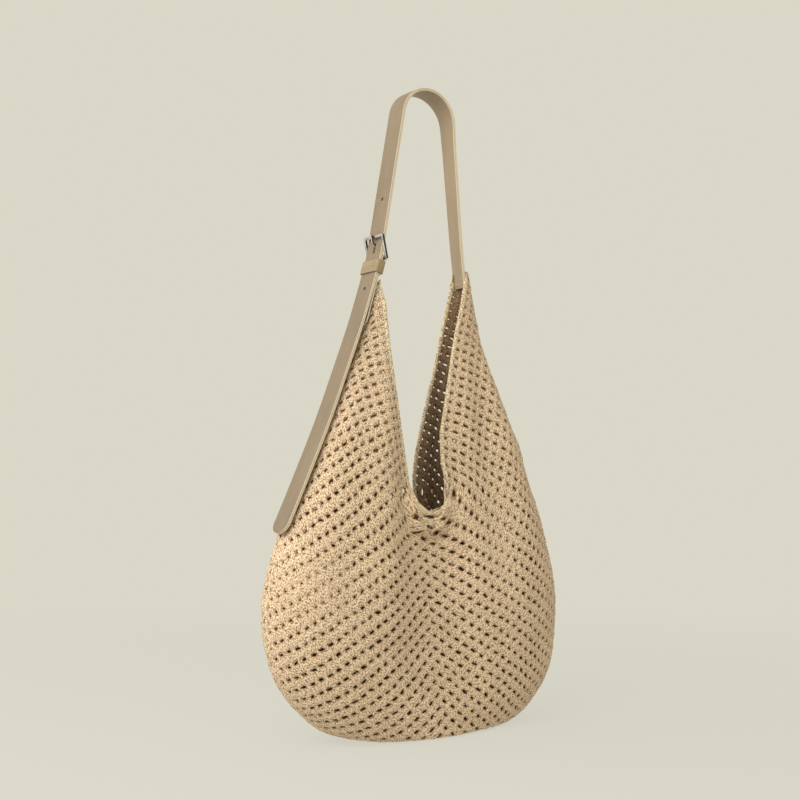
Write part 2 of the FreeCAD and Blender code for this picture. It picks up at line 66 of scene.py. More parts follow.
class Material:
    """A procedural material and short ways to add nodes to it."""

    def __init__(self, name, roughness=0.7, specular=0.3, metallic=0.0, sheen=0.0):
        self.made = bpy.data.materials.new(name)
        self.made.use_nodes = True
        self.tree = self.made.node_tree
        self.shader = self.tree.nodes["Principled BSDF"]
        for key, value in (("Roughness", roughness), ("Specular IOR Level", specular),
                           ("Metallic", metallic), ("Sheen Weight", sheen)):
            self.shader.inputs[key].default_value = value

    def node(self, kind, inputs, **settings):
        """A new node whose inputs are plain values or other nodes' outputs."""
        made = self.tree.nodes.new("ShaderNode" + kind)
        for key, value in settings.items():
            setattr(made, key, value)
        for key, value in inputs.items():
            if isinstance(value, bpy.types.NodeSocket):
                self.tree.links.new(value, made.inputs[key])
            else:
                made.inputs[key].default_value = value
        return made

    def attribute(self, name, output):
        return self.node("Attribute", {}, attribute_name=name).outputs[output]

    def place(self, scale, turn=0.0):
        """The mesh's flat coordinates, turned in their plane and then scaled."""
        scales = scale if isinstance(scale, tuple) else (scale,) * 3
        source = self.attribute("flat", "Vector")
        turned = self.node("Mapping", {"Vector": source, "Rotation": (0, 0, turn)}).outputs[0]
        return self.node("Mapping", {"Vector": turned, "Scale": scales}).outputs[0]

    def noise(self, vector, scale=1.0, detail=2.0, roughness=0.5):
        made = self.node("TexNoise", {"Vector": vector, "Scale": scale, "Detail": detail,
                                      "Roughness": roughness})
        return made.outputs["Fac"]

    def cells(self, vector, scale=1.0, feature="F1", randomness=1.0):
        return self.node("TexVoronoi", {"Vector": vector, "Scale": scale,
                                        "Randomness": randomness}, feature=feature)

    def ramp(self, value, stops):
        made = self.node("ValToRGB", {"Fac": value})
        band = made.color_ramp
        while len(band.elements) < len(stops):
            band.elements.new(0.5)
        for element, (position, colour) in zip(band.elements, stops):
            element.position = position
            element.color = (*colour, 1)
        return made.outputs["Color"]

    def spread(self, value, source, target):
        """A value moved from one range to another, and held inside it."""
        return self.node("MapRange", {"Value": value, "From Min": source[0], "From Max": source[1],
                                      "To Min": target[0], "To Max": target[1]}).outputs[0]

    def mix(self, share, a, b, kind="MIX"):
        a, b = [(*colour, 1) if isinstance(colour, tuple) else colour for colour in (a, b)]
        made = self.node("Mix", {0: share, 6: a, 7: b}, data_type="RGBA", blend_type=kind)
        return made.outputs[2]

    def set(self, key, value):
        self.tree.links.new(value, self.shader.inputs[key])

    def bump(self, heights):
        """Heights as (value, distance in millimetres, strength), laid over each other."""
        normal = None
        for value, distance, strength in heights:
            inputs = {"Height": value, "Distance": distance * MM, "Strength": strength}
            if normal is not None:
                inputs["Normal"] = normal
            normal = self.node("Bump", inputs).outputs[0]
        self.set("Normal", normal)


def times(colour, factor):
    """A colour made lighter or darker, up to white."""
    return tuple(min(1.0, part * factor) for part in colour)


def yarn_material(name, light, dark, ply_length, ply_width, turn):
    """Soft twisted cotton: short slanting plies with painted shade in the gaps between them, fibres
    and uneven dye; painted shade also darkens the yarn round the slits and on the net's inner face.
    """
    m = Material(name, roughness=0.92, specular=0.12, sheen=0.08)
    place = m.place((1 / ply_length, 1 / ply_width, 1), turn)
    plies = m.cells(place, randomness=0.85).outputs["Color"]
    gap = m.cells(place, feature="DISTANCE_TO_EDGE", randomness=0.85).outputs["Distance"]
    # Painted shade: the colour darkens into the gaps between the plies.
    body = m.ramp(gap, [(0.02, dark), (0.30, light)])
    tone = m.noise(plies, 3.0, 0.0)
    wide = m.noise(m.place(0.03), 1.0, 3.0)
    fine = m.noise(m.place(2.2), 1.0, 2.0, 0.7)
    speck = m.noise(m.place(0.62), 1.0, 2.0, 0.75)
    varied = m.mix(0.30, body, m.ramp(tone, [(0.3, dark), (0.7, light)]))
    fuzzy = m.mix(0.15, varied, m.ramp(fine, [(0.3, dark), (0.62, light)]))
    specks = m.ramp(speck, [(0.40, times(dark, 0.6)), (0.50, light), (0.60, times(light, 1.25))])
    fuzzy = m.mix(0.80, fuzzy, specks)
    shade = m.ramp(wide, [(0.3, (0.90, 0.89, 0.88)), (0.7, WHITE)])
    # Painted shade: the yarn is darker towards each slit and on the net's inner face, read from the
    # near attribute.
    soft = m.ramp(m.attribute("near", "Fac"), [
        (0.30, WHITE), (0.70, (0.74, 0.69, 0.63)), (1.0, (0.36, 0.29, 0.22))])
    m.set("Base Color", m.mix(1.0, m.mix(1.0, fuzzy, shade, "MULTIPLY"), soft, "MULTIPLY"))
    m.bump([(gap, 1.5, 1.0), (speck, 0.9, 0.8), (fine, 0.3, 0.5)])
    return m.made


def leather_material(name, face, edge, grain=1.0):
    """Smooth full-grain leather: fine pores, soft creases and a sealed cut edge."""
    m = Material(name, roughness=0.5, specular=0.3, sheen=0.03)
    place = m.place(1)
    pores = m.cells(place, 1.1 * grain).outputs["Distance"]
    grain_fine = m.noise(place, 1.7 * grain, 3.0, 0.6)
    streak = m.noise(m.place((0.02, 0.16, 0.2)), 1.0, 4.0, 0.6)
    cloud = m.noise(m.place((0.012, 0.03, 0.03)), 1.0, 3.0)
    dark, light = times(face, 0.80), times(face, 1.12)
    base = m.ramp(cloud, [(0.30, dark), (0.72, light)])
    base = m.mix(0.35, base, m.ramp(streak, [(0.25, dark), (0.75, light)]))
    base = m.mix(0.20, base, m.ramp(pores, [(0.05, dark), (0.35, light)]))
    rim = m.ramp(m.attribute("edge", "Fac"), [(0.35, BLACK), (0.75, WHITE)])
    m.set("Base Color", m.mix(rim, base, edge))
    m.set("Roughness", m.spread(grain_fine, (0, 1), (0.42, 0.66)))
    m.bump([(streak, 0.35, 0.35), (pores, 0.10, 0.55), (grain_fine, 0.08, 0.45)])
    return m.made


def metal_material(name, colour):
    """Polished plated metal with fine rubbing marks, a little tarnish and painted shade on the faces
    turned to the front (-Y).
    """
    m = Material(name, roughness=0.22, specular=0.5, metallic=1.0)
    place = m.node("TexCoord", {}).outputs["Object"]
    rubbed = m.node("Mapping", {"Vector": place, "Scale": (300, 2500, 300)}).outputs[0]
    rub = m.noise(rubbed, 1.0, 3.0)
    tarnish = m.ramp(m.noise(place, 260.0, 3.0), [(0.32, times(colour, 0.6)), (0.60, colour)])
    # Painted shade: faces turned towards -Y, the front, are darkened.
    painted_shade_facing = m.node("SeparateXYZ", {0: m.node("TexCoord", {}).outputs["Normal"]}).outputs["Y"]
    shade = m.ramp(m.spread(painted_shade_facing, (-1, 1), (0, 1)), [(0.12, (0.16, 0.15, 0.15)), (0.42, WHITE)])
    m.set("Base Color", m.mix(1.0, tarnish, shade, "MULTIPLY"))
    m.set("Roughness", m.spread(rub, (0, 1), (0.14, 0.36)))
    m.bump([(rub, 0.02, 0.35)])
    return m.made


def thread_material(name, colour):
    """Waxed sewing thread with its twist."""
    m = Material(name, roughness=0.6, specular=0.3)
    place = m.place(1.6, math.radians(35))
    twist = m.node("TexWave", {"Vector": place, "Scale": 1.0, "Distortion": 0.6}).outputs["Fac"]
    m.set("Base Color", m.ramp(twist, [(0.1, times(colour, 0.7)), (0.7, colour)]))
    m.bump([(twist, 0.15, 0.6)])
    return m.made


# ---- meshes ----

ACROSS, UP = np.array([0.0, 1.0, 0.0]), np.array([0.0, 0.0, 1.0])
# The step between the points of a strap's path, and the finer one at its rounded end.
PATH_STEP, FINE_STEP = 2.0, 0.4
ARC_POINTS = 17
# Edges sharper than these, in degrees, aren't smoothed over.
LEATHER_ANGLE, CORD_ANGLE, NET_ANGLE = 45.0, 60.0, 75.0
CORNER_STEPS, CORD_SIDES = 3, 12
# The share of a strip's rounded corner that shows its cut edge.
EDGE_SHARE = 0.8


def plain_object(name, points, faces):
    """A linked mesh object from places in millimetres."""
    mesh = bpy.data.meshes.new(name)
    mesh.from_pydata(to_world(points).tolist(), [], [list(map(int, face)) for face in faces])
    made = bpy.data.objects.new(name, mesh)
    bpy.context.scene.collection.objects.link(made)
    return made


def new_piece(name, points, faces, material, slot, smooth_angle, **attributes):
    """A visible piece; attributes are one value or one vector for each point."""
    piece = plain_object(name, points, faces)
    mesh = piece.data
    for key, values in attributes.items():
        values = np.asarray(values, np.float32)
        kind, field = ("FLOAT_VECTOR", "vector") if values.ndim == 2 else ("FLOAT", "value")
        mesh.attributes.new(key, kind, "POINT").data.foreach_set(field, values.ravel())
    mesh.update()
    mesh.polygons.foreach_set("use_smooth", [True] * len(mesh.polygons))
    mesh.set_sharp_from_angle(angle=math.radians(smooth_angle))
    mesh.materials.append(material)
    return piece


def unit(vectors):
    vectors = np.asarray(vectors, float)
    return vectors / np.maximum(np.linalg.norm(vectors, axis=-1, keepdims=True), 1e-9)


def lengths_along(points):
    steps = np.linalg.norm(np.diff(points, axis=0), axis=1)
    return np.concatenate([[0.0], np.cumsum(steps)])


def resample(points, step):
    """The same line with points evenly spaced."""
    points = np.asarray(points, float)
    along = lengths_along(points)
    wanted = np.linspace(0, along[-1], max(2, int(round(along[-1] / step)) + 1))
    return np.column_stack([np.interp(wanted, along, column) for column in points.T])


def rounded_path(corners, radii, step=PATH_STEP):
    """Straight runs joined by an arc at each inner corner, as evenly spaced points."""
    corners = np.asarray(corners, float)
    line = [corners[0]]
    for before, corner, after, radius in zip(corners, corners[1:], corners[2:], radii):
        way_in, way_out = unit(corner - before), unit(after - corner)
        turn = math.acos(float(way_in @ way_out))
        reach = radius * math.tan(turn / 2)
        centre = corner + unit(way_out - way_in) * radius / math.cos(turn / 2)
        start, end = corner - way_in * reach - centre, corner + way_out * reach - centre
        for angle in np.linspace(0, turn, ARC_POINTS):
            swing = start * math.sin(turn - angle) + end * math.sin(angle)
            line.append(centre + swing / math.sin(turn))
    line.append(corners[-1])
    return resample(line, step)


def spline(a, b, c, d, share):
    """A place on the Catmull-Rom curve through four points, between the second and the third."""
    return 0.5 * (2 * b + (c - a) * share + (2 * a - 5 * b + 4 * c - d) * share ** 2
                  + (3 * b - a - 3 * c + d) * share ** 3)


def smooth_line(points):
    """A smooth curve through the points, as evenly spaced points."""
    points = np.asarray(points, float)
    padded = np.vstack([2 * points[0] - points[1], points, 2 * points[-1] - points[-2]])
    shares = np.linspace(0, 1, 24, endpoint=False)[:, None]
    line = [spline(*four, shares) for four in zip(padded, padded[1:], padded[2:], padded[3:])]
    return resample(np.vstack([*line, points[-1]]), PATH_STEP)


def grid_faces(rows, columns, looped=False):
    """Quads between rings of points, one ring after another; looped joins the last to the first."""
    faces = []
    for i in range(rows if looped else rows - 1):
        this, following = i * columns, (i + 1) % rows * columns
        for j in range(columns):
            k = (j + 1) % columns
            faces.append((this + j, this + k, following + k, following + j))
    return faces


def capped_faces(rows, columns):
    """Quads between rings of points, with one face across each end."""
    last = (rows - 1) * columns
    ends = [tuple(range(columns))[::-1], tuple(range(last, last + columns))]
    return grid_faces(rows, columns) + ends


def left_of(ways):
    """A quarter turn to the left, for one or more directions in the XZ plane."""
    return np.stack([-ways[..., 2], np.zeros(ways.shape[:-1]), ways[..., 0]], axis=-1)


def turned(vectors, axis, angle):
    """Vectors turned about an axis at right angles to them, by an angle in radians."""
    return vectors * np.cos(angle) + np.cross(axis, vectors) * np.sin(angle)


def ring_round(place, across, up, sides):
    """The points of an ellipse round a place, from its two half axes."""
    angles = [2 * math.pi * j / sides for j in range(sides)]
    return [place + across * math.cos(angle) + up * math.sin(angle) for angle in angles]


def strip_section(half, near, far, rounding, steps=CORNER_STEPS):
    """The outline of a strip's cross-section, with rounded corners: across and outward."""
    outline = []
    thick = far - near
    r = min(rounding, thick * 0.49, half * 0.49)
    for sign_across, sign_out, start in ((1, 1, 0), (-1, 1, 90), (-1, -1, 180), (1, -1, 270)):
        middle = ((half - r) * sign_across, (near + far) / 2 + (thick / 2 - r) * sign_out)
        for i in range(steps + 1):
            angle = math.radians(start + 90 * i / steps)
            outline.append((middle[0] + r * math.cos(angle), middle[1] + r * math.sin(angle)))
    return outline


def strip(name, path, half, near, far, material, rounding=0.5, twist=0.0, slot="strap_leather"):
    """A leather strip along a path in the XZ plane; near and far are offsets to the path's left.

    twist is how far the strip is turned about its own path, in degrees.
    """
    ways = unit(np.gradient(path, axis=0))
    turns = np.radians(np.broadcast_to(twist, len(path)))[:, None]
    outward = turned(left_of(ways), ways, turns)
    sides = turned(-ACROSS[None], ways, turns)
    halves = np.broadcast_to(half, len(path))
    points, flat, edge = [], [], []
    for place, out, side, distance, width in zip(path, outward, sides, lengths_along(path), halves):
        for across, offset in strip_section(width, near, far, rounding):
            points.append(place + out * offset + side * across)
            flat.append((distance, across, offset))
            edge.append(1.0 if abs(across) > width - rounding * EDGE_SHARE else 0.0)
    faces = capped_faces(len(path), 4 * (CORNER_STEPS + 1))
    return new_piece(name, points, faces, material, slot, LEATHER_ANGLE, flat=flat, edge=edge)


def tube(name, line, outward, half_width, half_height, material, slot):
    """A flattened cord along a line in space; outward is the direction of its thickness."""
    ways = unit(np.gradient(line, axis=0))
    out = unit(outward - ways * np.sum(outward * ways, axis=1, keepdims=True))
    across = np.cross(ways, out)
    points, flat = [], []
    for place, wide, high, distance in zip(line, across, out, lengths_along(line)):
        points += ring_round(place, wide * half_width, high * half_height, CORD_SIDES)
        for j in range(CORD_SIDES):
            # The pattern is folded half way round the cord, so that it meets itself.
            round_it = 4 * half_width * min(j, CORD_SIDES - j) / CORD_SIDES
            flat.append((distance, round_it, 0))
    faces = capped_faces(len(line), CORD_SIDES)
    return new_piece(name, points, faces, material, slot, CORD_ANGLE, flat=flat)


def cut_holes(piece, cutters):
    """Cuts other objects out of a piece and removes them."""
    for cutter in cutters:
        step = piece.modifiers.new("hole", "BOOLEAN")
        step.operation = "DIFFERENCE"
        step.solver = "EXACT"
        step.object = cutter
    bpy.context.view_layer.update()
    final = piece.evaluated_get(bpy.context.evaluated_depsgraph_get())
    made = bpy.data.meshes.new_from_object(final)
    piece.modifiers.clear()
    piece.data = made
    for cutter in cutters:
        bpy.data.objects.remove(cutter)


def rod_cutter(middle, way, sides=20):
    """A plain closed rod to punch one of the strap's holes with."""
    side = unit(np.cross(way, ACROSS)) * HOLE_RADIUS
    up = np.cross(way, side)
    points = []
    for reach in (-HOLE_REACH, HOLE_REACH):
        points += ring_round(middle + way * reach, side, up, sides)
    return plain_object("cutter", points, capped_faces(2, sides))


def box_cutter(middle, ways, halves):
    """A plain closed box to cut a slot with: three directions and three half sizes."""
    a, b, c = [way * half for way, half in zip(ways, halves)]
    points = [middle + a * i + b * j + c * k for i in (-1, 1) for j in (-1, 1) for k in (-1, 1)]
    faces = [(0, 1, 3, 2), (4, 6, 7, 5), (0, 4, 5, 1), (2, 3, 7, 6), (0, 2, 6, 4), (1, 5, 7, 3)]
    return plain_object("cutter", points, faces)


# ---- the skin of the bag ----

# Height, half width, half depth, squareness, and how far the middle of a panel is drawn in.
SECTIONS = np.array([
    (0, 99, 0.3, 2, 0),
    (0, 100, 46, 2, 0),
    (14, 135, 54, 2, 0.04),
    (45, 170, 62, 2.1, 0.18),
    (86, 189.5, 66, 2.2, 0.33),
    (145, 195.5, 68, 2.2, 0.45),
    (218, 178, 62, 2.3, 0.64),
    (271, 157, 55, 2.3, 0.66),
    (323, 137, 47, 2.4, 0.60),
    (376, 109, 37, 2.6, 0.48),
    (430, 81, 27, 3, 0.33),
    (482, 68, 20, 3.8, 0.12),
    (520, 64, 18, 4, 0),
])
DIP_WIDTH = 70.0
LEVELS, COLUMNS = 520, 241
LEFT_PEAK, RIGHT_PEAK = 487.0, 512.0
PEAK_NARROWING, PEAK_SHARE = 30.0, 0.92
WALL_HALF = 1.5
MIDDLE_COLUMN = (COLUMNS - 1) // 2
LENGTH_STEPS = 700
APEX_HEIGHT = 264.0
NOTCH_DEPTH = 27.0
LIP_DROP, LIP_MIDDLE = 24.0, 3.0
# Height, and how far each side stands out from its section there. The left side lies back
# behind the tail, and the bag sags a little to the right.
LEFT_CHANGE = np.array([
    (0, -16), (14, -9), (30, -10), (60, -7), (86, -5), (145, -2.5), (190, -3), (233, -5.5),
    (283, -9.5), (334, -9.5), (386, -3), (430, 1), (460, 2), (484, 1), (520, 0),
])
RIGHT_CHANGE = np.array([
    (0, 26), (14, 20), (30, 15), (60, 9), (86, 3), (110, 0), (145, -1.5), (185, -3), (212, -4.5),
    (283, -4.5), (310, -2), (338, -5), (365, -2.5), (393, -1), (420, 1.5), (448, 2.5),
    (475, 1.5), (495, 0),
])


def smooth_step(value, start, end):
    share = np.clip((np.asarray(value, float) - start) / (end - start), 0, 1)
    return share * share * (3 - 2 * share)


def spline_column(values, places):
    """A smooth curve through evenly numbered values, read at fractional places."""
    padded = np.concatenate([[2 * values[0] - values[1]], values, [2 * values[-1] - values[-2]]])
    i = np.minimum(places.astype(int), len(values) - 2)
    return spline(*[padded[i + k] for k in range(4)], places - i)


def fan_folds(x, height):
    """Soft folds that spread from the peaks down each half of a panel, as an outward offset."""
    over = x - np.where(x < 0, -58.0, 57.0)
    down = np.where(x < 0, 520.0, 530.0) - height
    angle, distance = np.arctan2(over, down), np.hypot(over, down)
    wave = np.cos(15.0 * angle + np.where(x < 0, 0.6, 2.1)) + 0.5 * np.cos(27.0 * angle + 1.0)
    reach = smooth_step(distance, 50, 200) * (1 - smooth_step(distance, 300, 470))
    return wave * 3.0 * reach * smooth_step(np.abs(x + 10), 5, 60)


class Skin:
    """One panel's middle surface, with coordinates s across and t up, both true lengths."""

    def __init__(self, side, lip, mouth):
        self.side = side
        self.lip = lip
        self.mouth = mouth
        places = np.linspace(0, len(SECTIONS) - 1, LEVELS)
        columns = [spline_column(column, places) for column in SECTIONS.T]
        height, half_width, half_depth, squareness, drawn = columns
        height = np.maximum(height, 0)
        share = np.linspace(-1, 1, COLUMNS)
        grid = np.zeros((LEVELS, COLUMNS, 3))
        angle = np.linspace(-math.pi, 0, 721)
        c, s = np.cos(angle), np.sin(angle)
        for i in range(LEVELS):
            left, right = [np.interp(height[i], *table.T) for table in (LEFT_CHANGE, RIGHT_CHANGE)]
            reach = half_width[i] + np.where(c < 0, left, right) * np.abs(c)
            x = reach * np.sign(c) * np.abs(c) ** (2 / squareness[i])
            y = -half_depth[i] * np.abs(s) ** (2 / squareness[i])
            y *= 1 - drawn[i] * np.exp(-(x / DIP_WIDTH) ** 2)
            peak = np.where(x < 0, LEFT_PEAK, RIGHT_PEAK)
            y *= PEAK_SHARE + (1 - PEAK_SHARE) * smooth_step(peak - height[i], 0, PEAK_NARROWING)
            steps = np.hypot(np.diff(x), np.diff(y))
            length = np.concatenate([[0], np.cumsum(steps)])
            middle = np.interp(0.0, x, length)
            wanted = np.where(share < 0, (1 + share) * middle, middle + share * (length[-1] - middle))
            grid[i, :, 0] = np.interp(wanted, length, x)
            grid[i, :, 1] = np.interp(wanted, length, y)
            grid[i, :, 2] = height[i]
        fold = fan_folds(grid[:, :, 0], grid[:, :, 2])
        grid[:, :, 1] -= fold * smooth_step(-grid[:, :, 1], 6, 30)
        grid -= self.normals(grid) * WALL_HALF
        grid[:, :, 2] = np.maximum(grid[:, :, 2], WALL_HALF + 0.5)
        if side == "back":
            grid[:, :, 1] *= -1
        self.grid = grid
        self.normal = self.normals(grid) if side == "front" else -self.normals(grid)
        self.measure()

    @staticmethod
    def normals(grid):
        return unit(np.cross(np.gradient(grid, axis=1), np.gradient(grid, axis=0)))

    def measure(self):
        """Lengths across (s) and up (t) for every grid point."""
        across = np.linalg.norm(np.diff(self.grid, axis=1), axis=2)
        total = np.concatenate([np.zeros((LEVELS, 1)), np.cumsum(across, axis=1)], axis=1)
        self.s = total - total[:, MIDDLE_COLUMN:MIDDLE_COLUMN + 1]
        step = np.diff(self.grid, axis=0)
        over = unit(np.gradient(self.grid, axis=1))
        over = (over[1:] + over[:-1]) / 2
        step -= over * np.sum(step * over, axis=2, keepdims=True)
        climb = np.cumsum(np.linalg.norm(step, axis=2), axis=0)
        climb = np.concatenate([np.zeros((1, COLUMNS)), climb])
        level = np.interp(APEX_HEIGHT, self.grid[2:, MIDDLE_COLUMN, 2], np.arange(2, LEVELS))
        low, part = int(level), level % 1
        self.t = climb - climb[low] * (1 - part) - climb[low + 1] * part
        self.t_low = self.t[0].min() - 5
        self.t_high = self.t[-1].max() + 5
        lengths = np.linspace(self.t_low, self.t_high, LENGTH_STEPS)
        rows = np.arange(LEVELS)
        self.level_at = np.stack([np.interp(lengths, column, rows) for column in self.t.T], axis=1)

    def middle_height(self, t):
        """The height of the panel's middle at lengths up the panel."""
        return np.interp(t, self.t[:, MIDDLE_COLUMN], self.grid[:, MIDDLE_COLUMN, 2])

    def length_up(self, height):
        """The length up the panel at a height of its middle."""
        return np.interp(height, self.grid[:, MIDDLE_COLUMN, 2], self.t[:, MIDDLE_COLUMN])

    def locate(self, s, t):
        """Fractional grid row and column of places, with s measured from the middle line."""
        s = s + np.interp(self.middle_height(t), *MIDDLE_LINE.T)
        column = np.full(len(s), float(MIDDLE_COLUMN))
        rows = np.arange(LEVELS)
        t_place = (t - self.t_low) / (self.t_high - self.t_low) * (LENGTH_STEPS - 1)
        t_place = np.clip(t_place, 0, LENGTH_STEPS - 1.001)
        for _ in range(7):
            row = np.clip(self.read(self.level_at, t_place, column), 0, LEVELS - 1.001)
            left, right = [np.interp(row, rows, self.s[:, edge]) for edge in (0, -1)]
            share = np.where(s < 0, -s / left, s / right)
            column = (np.clip(share, -1, 1) + 1) / 2 * (COLUMNS - 1)
            column = np.clip(column, 0, COLUMNS - 1.001)
        return row, column, share

    @staticmethod
    def read(table, row, column):
        """Reads a table between its points."""
        i, j = row.astype(int), column.astype(int)
        i2 = np.minimum(i + 1, table.shape[0] - 1)
        j2 = np.minimum(j + 1, table.shape[1] - 1)
        u, v = row - i, column - j
        if table.ndim == 3:
            u, v = u[:, None], v[:, None]
        return (table[i, j] * (1 - u) * (1 - v) + table[i2, j] * u * (1 - v)
                + table[i, j2] * (1 - u) * v + table[i2, j2] * u * v)

    def surface(self, s, t):
        """Places with their relief, and outward normals."""
        row, column, _ = self.locate(s, t)
        place = self.read(self.grid, row, column)
        out = unit(self.read(self.normal, row, column))
        return place + out * self.relief(s, t)[:, None], out

    def relief(self, s, t):
        """The lip that folds out under the notch and the crease where the two halves meet."""
        below = -t - NOTCH_DEPTH
        width = np.interp(below, [-40, -6, 12, 30], [42, 38, 30, 14])
        inside = 1 - np.abs(s - LIP_MIDDLE) / width
        lip = smooth_step(inside, 0, 0.26) * (1 - smooth_step(below, LIP_DROP - 4, LIP_DROP + 1))
        lip = lip * smooth_step(below, -34, -4)
        reach = np.interp(-t, [-60, 0, NOTCH_DEPTH], [30, 29, 4])
        flare = 0.8 * np.exp(-np.maximum(s - reach, 0) / 7.0) * (s > 0)
        flare = flare * (1 - smooth_step(-below, 30, 95)) * (1 - smooth_step(below, 0, 12))
        ridge = 0.8 * np.exp(-((np.abs(s) - 12) / 9) ** 2) * smooth_step(below, 10, 60)
        return self.lip * np.maximum(lip, flare) + ridge


RIM_LEAN = math.tan(math.radians(8.0))
# The middle of the mouth and of the crease under it: height and distance from the middle plane.
MIDDLE_LINE = np.array([(0, 0), (42, -3), (86, -8.5), (145, -12), (264, -12), (376, -11),
                        (438, -9), (520, -8)])
# The mouth: height, then how far its left and right edges are from that line.
FRONT_MOUTH = np.array([
    (264, 20.5, 29), (276, 22.5, 28), (290, 25.5, 24.5), (323, 33, 25.5),
    (376, 41.5, 33.5), (414, 45.5, 39), (440, 47.5, 44), (466, 49.5, 51),
    (482, 53, 54.5), (500, 54, 59), (520, 55, 62),
])
BACK_MOUTH = np.array([
    (264, 12, 21), (277, 11.5, 19.5), (304, 12, 21.5), (329, 14, 27),
    (340, 16, 30), (367, 22, 38), (395, 28, 45), (423, 33.5, 48.5),
    (451, 39, 53), (480, 47, 58), (494, 50, 60), (520, 54, 62),
])
# Lengths across the panel are this much more than the straight distances in the tables.
MOUTH_EASE = 1.02
# The top of the right arm falls from its outer side to the mouth by this much per millimetre.
ARM_FALL, ARM_SIDE = 1.3, 62.0


def top_height(x):
    """The height where the net ends, at distances from the middle plane."""
    return np.where(x < 0, LEFT_PEAK, RIGHT_PEAK - ARM_FALL * np.maximum(ARM_SIDE - x, 0))


def mouth_edge(skin, t, right):
    """How far across the panel the edge of the mouth is, at lengths up the panel."""
    reach = np.interp(skin.middle_height(t), skin.mouth[:, 0], skin.mouth[:, 2 if right else 1])
    return reach * MOUTH_EASE


# ---- the net ----

PITCH = 10.2
CELL_REACH = 55
# In degrees: three quarters of the square pattern hang in nearly the whole round of the panel.
PATTERN_SWEEP, HUNG_SWEEP, HUNG_START = 270.0, 344.0, 98.0
NOTCH_SPREAD = 120.0
NOTCH_SQUARENESS = 3.2
# Half lengths of a slit, as shares of the pitch.
HOLE_LONG, HOLE_SHORT = 0.235, 0.09
BACK_CLOSING = 0.6
# Where the front is pulled so tight that its cells close: distance from the middle plane, height,
# half width, half height and how far they close.
CLOSE_PATCHES = [(-158, 165, 42, 38, 0.8), (84, 210, 18, 75, 0.6)]
# The places round a cell where its outline has points, in thirds of a side.
RING = np.array([(0, 0), (1, 0), (2, 0), (3, 0), (3, 1), (3, 2), (3, 3), (2, 3), (1, 3), (0, 3),
                 (0, 2), (0, 1)])
# Shared points are told apart by whole numbers, this many to a third of a side.
THIRD = 10


def mouth_beside(skin, s, t):
    """The mouth's edge and its reach over the notch, on the side where each place is."""
    right = s > 0
    edge = np.where(right, mouth_edge(skin, t, True), mouth_edge(skin, t, False))
    return edge, np.where(right, skin.mouth[0, 2], skin.mouth[0, 1])


def notch_ring(s, t, reach):
    """How far out places are, as shares of the way to the rounded square end of the mouth."""
    power = NOTCH_SQUARENESS
    return (np.abs(s / reach) ** power + np.abs(t / NOTCH_DEPTH) ** power) ** (1 / power)


def hang(skin, p, q):
    """Takes places of the flat square pattern to the hung panel: lengths across and up."""
    rho = np.hypot(p, q)
    psi = np.degrees(np.arctan2(p, q)) % 360.0
    psi = np.where(psi > 315.0, psi - 360.0, psi)
    theta = np.radians(HUNG_START + psi * HUNG_SWEEP / PATTERN_SWEEP)
    s, t = rho * np.cos(theta), rho * np.sin(theta)
    edge, reach = mouth_beside(skin, s, t)
    push = np.exp(-rho / NOTCH_SPREAD) / notch_ring(np.cos(theta), np.sin(theta), reach)
    ideal = np.maximum(t, 0) * RIM_LEAN
    gap = np.maximum(np.abs(s) - ideal, 0)
    high_s = np.sign(s) * (np.abs(s) + (edge - ideal) * np.exp(-gap / NOTCH_SPREAD))
    below = t < 0
    return (np.where(below, s + push * np.cos(theta), high_s),
            np.where(below, t + push * np.sin(theta), t))


def outside_mouth(skin, s, t):
    """Moves places that fall inside the mouth out to its edge."""
    edge, reach = mouth_beside(skin, s, t)
    s = np.where((t >= 0) & (np.abs(s) < edge), np.where(s > 0, edge, -edge), s)
    ring = notch_ring(s, t, reach)
    inside = (t < 0) & (ring < 1) & (ring > 1e-6)
    return np.where(inside, s / ring, s), np.where(inside, t / ring, t)


def panel_cells(skin):
    """The pattern's cells that lie on the panel, with their middles there and on the skin."""
    span = np.arange(-CELL_REACH, CELL_REACH)
    cells = np.stack(np.meshgrid(span, span, indexing="ij"), axis=-1).reshape(-1, 2)
    # A quarter of the square pattern is left out: the mouth.
    cells = cells[(cells[:, 0] >= 0) | (cells[:, 1] < 0)]
    middle = (cells + 0.5) * PITCH
    s, t = hang(skin, middle[:, 0], middle[:, 1])
    row, column, share = skin.locate(s, t)
    place = skin.read(skin.grid, row, column)
    peak = top_height(place[:, 0])
    t_base = np.interp(column, np.arange(COLUMNS), skin.t[0])
    keep = (np.abs(share) < 1.0) & (t > t_base) & (place[:, 2] < peak - 2) & (place[:, 2] > -1)
    return [values[keep] for values in (cells, middle, s, t, share, place)]


def shared_points(cells):
    """The points that cells share: places in the pattern, which are corners, and each cell's own."""
    keys = (cells[:, None, :] * 3 + RING[None]) * THIRD
    # The three cells round the corner of the pattern each get a corner of their own there.
    at_corner = np.all(keys == 0, axis=2)
    keys[at_corner] = np.sign(cells + 0.5)[np.nonzero(at_corner)[0]].astype(int)
    unique, index = np.unique(keys.reshape(-1, 2), axis=0, return_inverse=True)
    corner = np.all(unique % (3 * THIRD) == 0, axis=1)
    return unique / (3 * THIRD) * PITCH, corner, index.reshape(len(cells), len(RING))


def openness(skin, s, t, share, place):
    """How far each cell's slit is open: less at the sides and where the net is pulled tight."""
    opened = 1 - 0.55 * smooth_step(share, 0.55, 0.95) - 0.25 * smooth_step(-share, 0.75, 1.0)
    if skin.side == "back":
        return opened * (1 - BACK_CLOSING * np.where(s < 0, 1.0, smooth_step(-t, 10, 60)))
    for x, height, wide, tall, amount in CLOSE_PATCHES:
        spread = ((place[:, 0] - x) / wide) ** 2 + ((place[:, 2] - height) / tall) ** 2
        opened *= 1 - amount * np.exp(-spread)
    return opened


